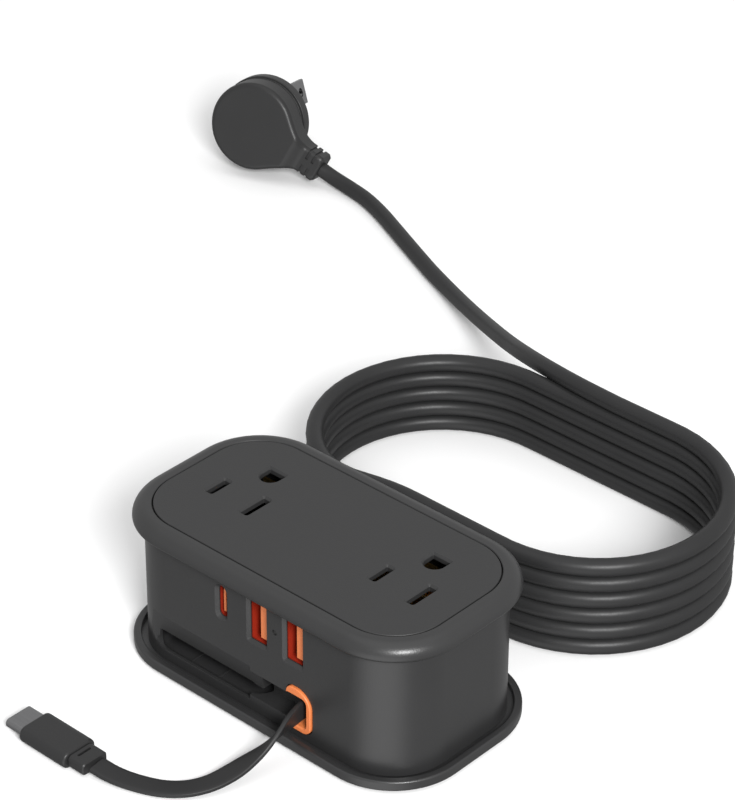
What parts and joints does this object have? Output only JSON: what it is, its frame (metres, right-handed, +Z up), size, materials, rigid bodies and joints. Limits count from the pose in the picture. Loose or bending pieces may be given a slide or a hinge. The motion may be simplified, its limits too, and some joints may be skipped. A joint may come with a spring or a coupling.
{
  "type": "travel power strip",
  "caption": "Spool-shaped travel power strip with top outlets, front USB ports, a flat USB cable on a spring reel, and a coiled mains cord ending in a flat round plug.",
  "frame": {"origin": "middle of the strip's footprint, on the surface its feet stand on", "axes": "+X along the strip's length, ports and flat cable face -Y, mains cord leaves at +Y, +Z up"},
  "size_m": [0.2682, 0.2733, 0.042],
  "materials": {
    "charcoal_plastic": "satin moulded plastic",
    "panel_plastic": "fine matte moulded plastic",
    "cord_jacket": "satin flexible jacket",
    "orange_plastic": "satin coloured plastic",
    "tongue_plastic": "satin coloured plastic",
    "port_red": "satin coloured plastic",
    "plated_steel": "nickel-plated",
    "contact_brass": "bare stamped brass",
    "circuit_board": "green solder mask",
    "foot_rubber": "matte rubber",
    "transformer_tape": "yellow insulating tape",
    "capacitor_sleeve": "shrink sleeve",
    "varistor_coat": "blue epoxy coat",
    "pale_nylon": "natural nylon"
  },
  "bodies": {
    "strip": {"main_shell": "charcoal_plastic", "top_panel": "panel_plastic", "base_cover": "charcoal_plastic", "cable_grommet": "orange_plastic", "usb_a_port_1": "port_red", "usb_a_port_1_tongue": "tongue_plastic", "usb_a_port_2": "port_red", "usb_a_port_2_tongue": "tongue_plastic", "usb_c_port": "port_red", "usb_c_port_tongue": "tongue_plastic", "status_light": "pale_nylon", "contact_tray": "pale_nylon", "live_contact_bar": "contact_brass", "neutral_contact_bar": "contact_brass", "earth_contact_bar": "contact_brass", "charger_board": "circuit_board", "power_board": "circuit_board", "transformer": "transformer_tape", "filter_capacitor": "capacitor_sleeve", "surge_varistor": "varistor_coat", "reel_spring": "plated_steel", "reel_pin": "plated_steel", "reel_cover": "pale_nylon", "base_screw_1": "plated_steel", "base_screw_2": "plated_steel", "base_screw_3": "plated_steel", "base_screw_4": "plated_steel", "rubber_foot_1": "foot_rubber", "rubber_foot_2": "foot_rubber", "rubber_foot_3": "foot_rubber", "rubber_foot_4": "foot_rubber", "mains_cord_relief": "charcoal_plastic", "mains_cord_coil": "cord_jacket", "mains_cord_lead": "cord_jacket", "plug_base": "charcoal_plastic", "plug_cover": "charcoal_plastic", "plug_live_blade": "plated_steel", "plug_neutral_blade": "plated_steel", "plug_earth_pin": "plated_steel", "usb_cable": "cord_jacket", "connector_relief": "charcoal_plastic", "connector_grip": "charcoal_plastic", "connector_tip": "plated_steel", "connector_tongue": "pale_nylon"},
    "reel": {"reel_drum": "pale_nylon", "reel_winding": "cord_jacket"}
  },
  "joints": [
    {"name": "reel_turn", "type": "hinge", "parent": "strip", "child": "reel", "pos_m": [0.0205, 0.002, 0.0089], "axis": [0, 0, 1], "range_deg": [-300, 1260]}
  ]
}
